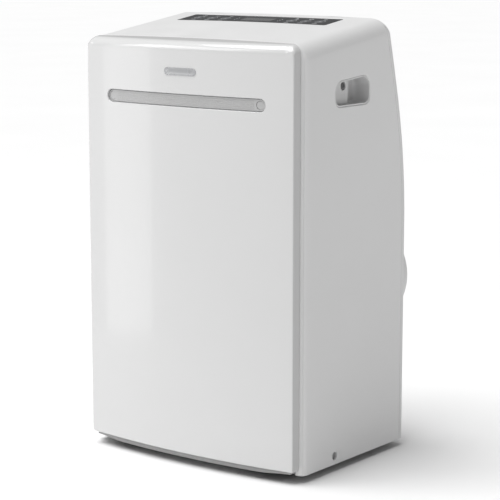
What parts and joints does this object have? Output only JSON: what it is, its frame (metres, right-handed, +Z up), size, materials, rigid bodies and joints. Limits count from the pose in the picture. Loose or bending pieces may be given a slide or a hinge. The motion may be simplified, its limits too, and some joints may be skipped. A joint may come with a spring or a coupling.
{
  "type": "portable air conditioner",
  "caption": "Upright portable air conditioner on castors, bowed gloss front with a slim outlet louvre, sloping control top, side grips and a rear exhaust collar.",
  "frame": {"origin": "on the floor, under the middle of the overall box", "axes": "+X to the right seen from the front, +Y to the back, +Z up"},
  "size_m": [0.46, 0.396, 0.7642],
  "materials": {
    "shell_white": "satin moulded plastic, soft sheen",
    "panel_gloss": "high gloss moulded plastic",
    "rear_white": "fine textured plastic",
    "grey_plastic": "satin grey plastic",
    "badge_grey": "satin, blank",
    "control_dark": "dark satin plastic",
    "display_glass": "smoked gloss window",
    "button_dark": "soft-touch satin",
    "inner_dark": "matte moulded plastic",
    "foam_white": "matte moulded housing",
    "castor_black": "satin nylon",
    "castor_tyre": "worn matte tread",
    "filter_mesh": "fine nylon mesh in a frame",
    "bright_steel": "zinc plated",
    "black_steel": "black enamel",
    "coil_fins": "thin bright fins",
    "copper_pipe": "bare copper tube"
  },
  "bodies": {
    "cabinet": {"cabinet_shell": "shell_white", "front_panel": "panel_gloss", "rear_cover": "rear_white", "base_tray": "inner_dark", "mid_tray": "inner_dark", "blank_badge": "badge_grey", "outlet_duct": "inner_dark", "control_panel": "control_dark", "display_window": "display_glass", "left_handle_cup": "grey_plastic", "right_handle_cup": "grey_plastic", "left_handle_screw": "bright_steel", "right_handle_screw": "bright_steel", "left_side_screw": "bright_steel", "right_side_screw": "bright_steel", "condenser_grille": "rear_white", "exhaust_flange": "rear_white", "cord_gland": "castor_black", "compressor": "black_steel", "accumulator": "black_steel", "condenser_coil": "coil_fins", "evaporator_coil": "coil_fins", "evaporator_scroll": "foam_white", "evaporator_fan_motor": "bright_steel", "condenser_scroll": "foam_white", "condenser_fan_motor": "bright_steel", "electronics_box": "inner_dark", "capacitor": "bright_steel", "suction_pipe": "copper_pipe", "discharge_pipe": "copper_pipe"},
    "louvre": {"outlet_louvre": "grey_plastic"},
    "vane_1": {"guide_vane_1": "inner_dark"},
    "vane_2": {"guide_vane_2": "inner_dark"},
    "vane_3": {"guide_vane_3": "inner_dark"},
    "vane_4": {"guide_vane_4": "inner_dark"},
    "vane_5": {"guide_vane_5": "inner_dark"},
    "link": {"vane_link": "inner_dark"},
    "push_button_1": {"button_1": "button_dark"},
    "push_button_2": {"button_2": "button_dark"},
    "push_button_3": {"button_3": "button_dark"},
    "push_button_4": {"button_4": "button_dark"},
    "push_button_5": {"button_5": "button_dark"},
    "push_button_6": {"button_6": "button_dark"},
    "filter_door": {"intake_grille": "rear_white", "air_filter": "filter_mesh"},
    "exhaust_collar": {"hose_collar": "grey_plastic"},
    "drain_plug": {"drain_cap": "castor_black"},
    "evaporator_fan": {"evaporator_fan_wheel": "inner_dark", "evaporator_fan_shaft": "bright_steel"},
    "condenser_fan": {"condenser_fan_wheel": "inner_dark", "condenser_fan_shaft": "bright_steel"},
    "front_left_swivel": {"front_left_castor_fork": "castor_black"},
    "front_left_roller": {"front_left_castor_wheel": "castor_tyre"},
    "front_right_swivel": {"front_right_castor_fork": "castor_black"},
    "front_right_roller": {"front_right_castor_wheel": "castor_tyre"},
    "rear_left_swivel": {"rear_left_castor_fork": "castor_black"},
    "rear_left_roller": {"rear_left_castor_wheel": "castor_tyre"},
    "rear_right_swivel": {"rear_right_castor_fork": "castor_black"},
    "rear_right_roller": {"rear_right_castor_wheel": "castor_tyre"}
  },
  "joints": [
    {"name": "louvre_tilt", "type": "hinge", "parent": "cabinet", "child": "louvre", "pos_m": [0, -0.18, 0.63], "axis": [-1, 0, 0], "range_deg": [0, 60]},
    {"name": "vane_1_turn", "type": "hinge", "parent": "cabinet", "child": "vane_1", "pos_m": [-0.12, -0.158, 0.63], "axis": [0, 0, 1], "range_deg": [-30, 30]},
    {"name": "vane_2_turn", "type": "hinge", "parent": "cabinet", "child": "vane_2", "pos_m": [-0.06, -0.158, 0.63], "axis": [0, 0, 1], "range_deg": [-30, 30]},
    {"name": "vane_3_turn", "type": "hinge", "parent": "cabinet", "child": "vane_3", "pos_m": [0, -0.158, 0.63], "axis": [0, 0, 1], "range_deg": [-30, 30]},
    {"name": "vane_4_turn", "type": "hinge", "parent": "cabinet", "child": "vane_4", "pos_m": [0.06, -0.158, 0.63], "axis": [0, 0, 1], "range_deg": [-30, 30]},
    {"name": "vane_5_turn", "type": "hinge", "parent": "cabinet", "child": "vane_5", "pos_m": [0.12, -0.158, 0.63], "axis": [0, 0, 1], "range_deg": [-30, 30]},
    {"name": "link_slide", "type": "slide", "parent": "cabinet", "child": "link", "axis": [1, 0, 0], "range_m": [-0.0092, 0.0092]},
    {"name": "button_1_press", "type": "slide", "parent": "cabinet", "child": "push_button_1", "axis": [0, 0.1386, -0.9903], "range_m": [0, 0.0008], "stiffness_N_per_m": 400, "springref_m": -0.0006},
    {"name": "button_2_press", "type": "slide", "parent": "cabinet", "child": "push_button_2", "axis": [0, 0.1386, -0.9903], "range_m": [0, 0.0008], "stiffness_N_per_m": 400, "springref_m": -0.0006},
    {"name": "button_3_press", "type": "slide", "parent": "cabinet", "child": "push_button_3", "axis": [0, 0.1386, -0.9903], "range_m": [0, 0.0008], "stiffness_N_per_m": 400, "springref_m": -0.0006},
    {"name": "button_4_press", "type": "slide", "parent": "cabinet", "child": "push_button_4", "axis": [0, 0.1386, -0.9903], "range_m": [0, 0.0008], "stiffness_N_per_m": 400, "springref_m": -0.0006},
    {"name": "button_5_press", "type": "slide", "parent": "cabinet", "child": "push_button_5", "axis": [0, 0.1386, -0.9903], "range_m": [0, 0.0008], "stiffness_N_per_m": 400, "springref_m": -0.0006},
    {"name": "button_6_press", "type": "slide", "parent": "cabinet", "child": "push_button_6", "axis": [0, 0.1386, -0.9903], "range_m": [0, 0.0008], "stiffness_N_per_m": 400, "springref_m": -0.0006},
    {"name": "filter_door_tilt", "type": "hinge", "parent": "cabinet", "child": "filter_door", "pos_m": [0, 0.14448, 0.471], "axis": [-1, 0, 0], "range_deg": [0, 30]},
    {"name": "collar_twist", "type": "hinge", "parent": "cabinet", "child": "exhaust_collar", "pos_m": [0.127, 0.16, 0.304], "axis": [0, 1, 0], "range_deg": [0, 45]},
    {"name": "drain_cap_turn", "type": "hinge", "parent": "cabinet", "child": "drain_plug", "pos_m": [0.03, 0.15, 0.036], "axis": [0, 1, 0], "range_deg": [0, 540]},
    {"name": "evaporator_fan_spin", "type": "hinge", "parent": "cabinet", "child": "evaporator_fan", "pos_m": [0, -0.06, 0.508], "axis": [0, 1, 0], "continuous": true},
    {"name": "condenser_fan_spin", "type": "hinge", "parent": "cabinet", "child": "condenser_fan", "pos_m": [0.118, 0.05, 0.166], "axis": [0, 1, 0], "continuous": true},
    {"name": "front_left_swivel_turn", "type": "hinge", "parent": "cabinet", "child": "front_left_swivel", "pos_m": [-0.158, -0.142, 0.046], "axis": [0, 0, 1], "continuous": true},
    {"name": "front_left_wheel_roll", "type": "hinge", "parent": "front_left_swivel", "child": "front_left_roller", "pos_m": [-0.158, -0.132, 0.019], "axis": [1, 0, 0], "continuous": true},
    {"name": "front_right_swivel_turn", "type": "hinge", "parent": "cabinet", "child": "front_right_swivel", "pos_m": [0.158, -0.142, 0.046], "axis": [0, 0, 1], "continuous": true},
    {"name": "front_right_wheel_roll", "type": "hinge", "parent": "front_right_swivel", "child": "front_right_roller", "pos_m": [0.158, -0.132, 0.019], "axis": [1, 0, 0], "continuous": true},
    {"name": "rear_left_swivel_turn", "type": "hinge", "parent": "cabinet", "child": "rear_left_swivel", "pos_m": [-0.158, 0.1, 0.046], "axis": [0, 0, 1], "continuous": true},
    {"name": "rear_left_wheel_roll", "type": "hinge", "parent": "rear_left_swivel", "child": "rear_left_roller", "pos_m": [-0.158, 0.11, 0.019], "axis": [1, 0, 0], "continuous": true},
    {"name": "rear_right_swivel_turn", "type": "hinge", "parent": "cabinet", "child": "rear_right_swivel", "pos_m": [0.158, 0.1, 0.046], "axis": [0, 0, 1], "continuous": true},
    {"name": "rear_right_wheel_roll", "type": "hinge", "parent": "rear_right_swivel", "child": "rear_right_roller", "pos_m": [0.158, 0.11, 0.019], "axis": [1, 0, 0], "continuous": true}
  ],
  "couplings": [
    {"joint": "vane_1_turn", "follows": "vane_3_turn", "ratio": 1},
    {"joint": "vane_2_turn", "follows": "vane_3_turn", "ratio": 1},
    {"joint": "vane_4_turn", "follows": "vane_3_turn", "ratio": 1},
    {"joint": "vane_5_turn", "follows": "vane_3_turn", "ratio": 1},
    {"joint": "link_slide", "follows": "vane_3_turn", "m_per_rad": -0.017}
  ]
}
